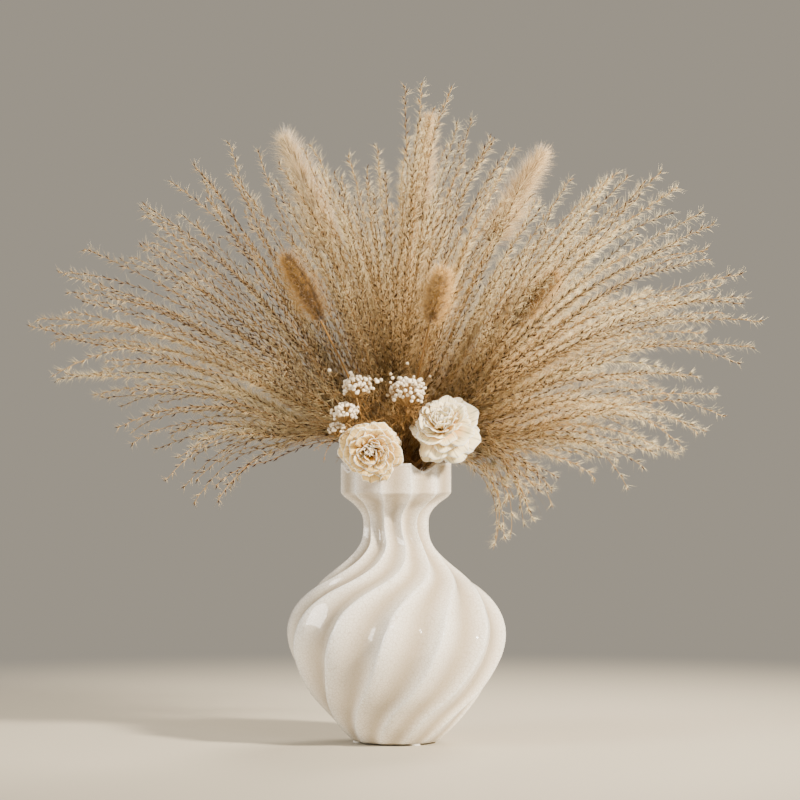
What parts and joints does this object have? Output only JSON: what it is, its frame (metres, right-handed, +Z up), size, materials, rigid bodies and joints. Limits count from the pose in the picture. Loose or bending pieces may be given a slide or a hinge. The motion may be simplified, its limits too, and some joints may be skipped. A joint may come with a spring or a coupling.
{
  "type": "vase of dried flowers",
  "caption": "Dried silver grass, reed plumes, bunny tails, sola-wood flowers and small bud sprays fanned out from a fluted ceramic vase.",
  "frame": {"origin": "centre of the overall width and depth, on the surface the vase stands on", "axes": "+X along the width of the fan to the viewer's right, +Y away from the viewer, +Z up"},
  "size_m": [0.6691, 0.3811, 0.5964],
  "materials": {
    "crackle_glaze": "glossy white crackle glaze",
    "clear_rubber": "clear, smooth",
    "silver_grass": "dry, silky",
    "bunny_tail": "dry, downy",
    "reed_plume": "dry, feathery",
    "sola_wood": "matte shavings",
    "dry_reed": "matte",
    "bud_spray": "matte"
  },
  "bodies": {
    "root": {"vase": "crackle_glaze", "pad_left": "clear_rubber", "pad_front": "clear_rubber", "pad_back": "clear_rubber", "silver_grass_left_front": "silver_grass", "silver_grass_left_low": "silver_grass", "silver_grass_left_high": "silver_grass", "silver_grass_left_back": "silver_grass", "silver_grass_middle_front": "silver_grass", "silver_grass_middle": "silver_grass", "silver_grass_middle_back": "silver_grass", "silver_grass_right_front": "silver_grass", "silver_grass_right_high": "silver_grass", "silver_grass_right_low": "silver_grass", "silver_grass_right_back": "silver_grass", "bunny_tail_left": "bunny_tail", "reed_plume_left": "reed_plume", "bunny_tail_middle": "bunny_tail", "reed_plume_middle": "reed_plume", "bunny_tail_right": "bunny_tail", "reed_plume_right": "reed_plume", "sola_flower_left": "sola_wood", "sola_flower_left_stem": "dry_reed", "bud_spray_left": "bud_spray", "sola_flower_right": "sola_wood", "sola_flower_right_stem": "dry_reed", "bud_spray_right": "bud_spray"}
  },
  "joints": []
}
